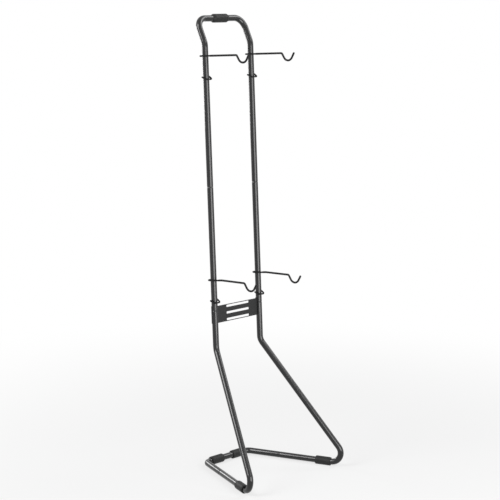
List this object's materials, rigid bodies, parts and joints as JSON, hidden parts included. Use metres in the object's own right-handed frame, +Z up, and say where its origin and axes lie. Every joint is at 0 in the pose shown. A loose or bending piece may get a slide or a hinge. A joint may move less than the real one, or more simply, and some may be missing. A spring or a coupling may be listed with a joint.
{
  "type": "bike rack",
  "caption": "Two tier leaning stand of bent steel tube: a splayed base, two uprights, a top bar that rests on a wall, and rod arms with V cradles that slide up and down.",
  "frame": {"origin": "middle of the bounding box, on the floor", "axes": "+Z up; -Y to the front, where the arms point; +Y to the wall; +X to the right seen from the front"},
  "size_m": [0.666, 0.5578, 2.2146],
  "materials": {
    "tube_paint": "black powder coat, semi-gloss, fine texture",
    "plate_paint": "black powder coat, satin",
    "black_screw": "black zinc",
    "spring_steel": "bright zinc",
    "sleeve_rubber": "matte dark grey rubber",
    "arm_paint": "black powder coat, satin",
    "cover_vinyl": "soft black vinyl dip, matte"
  },
  "bodies": {
    "stand": {"base_rear": "tube_paint", "left_leg": "tube_paint", "right_leg": "tube_paint", "left_upright": "tube_paint", "right_upright": "tube_paint", "top_bar": "tube_paint", "cross_plate": "plate_paint", "plate_screws": "black_screw", "snap_buttons": "spring_steel", "top_sleeve": "sleeve_rubber", "rear_left_sleeve": "sleeve_rubber", "rear_right_sleeve": "sleeve_rubber", "front_left_sleeve": "sleeve_rubber", "front_right_sleeve": "sleeve_rubber"},
    "upper_left_hanger": {"upper_left_arm": "arm_paint", "upper_left_cover": "cover_vinyl"},
    "upper_right_hanger": {"upper_right_arm": "arm_paint", "upper_right_cover": "cover_vinyl"},
    "lower_left_hanger": {"lower_left_arm": "arm_paint", "lower_left_cover": "cover_vinyl"},
    "lower_right_hanger": {"lower_right_arm": "arm_paint", "lower_right_cover": "cover_vinyl"}
  },
  "joints": [
    {"name": "upper_left_height", "type": "slide", "parent": "stand", "child": "upper_left_hanger", "axis": [0, 0.0474, 0.9989], "range_m": [-0.5, 0.03]},
    {"name": "upper_right_height", "type": "slide", "parent": "stand", "child": "upper_right_hanger", "axis": [0, 0.0474, 0.9989], "range_m": [-0.5, 0.03]},
    {"name": "lower_left_height", "type": "slide", "parent": "stand", "child": "lower_left_hanger", "axis": [0, 0.0474, 0.9989], "range_m": [-0.015, 0.445]},
    {"name": "lower_right_height", "type": "slide", "parent": "stand", "child": "lower_right_hanger", "axis": [0, 0.0474, 0.9989], "range_m": [-0.015, 0.445]}
  ]
}
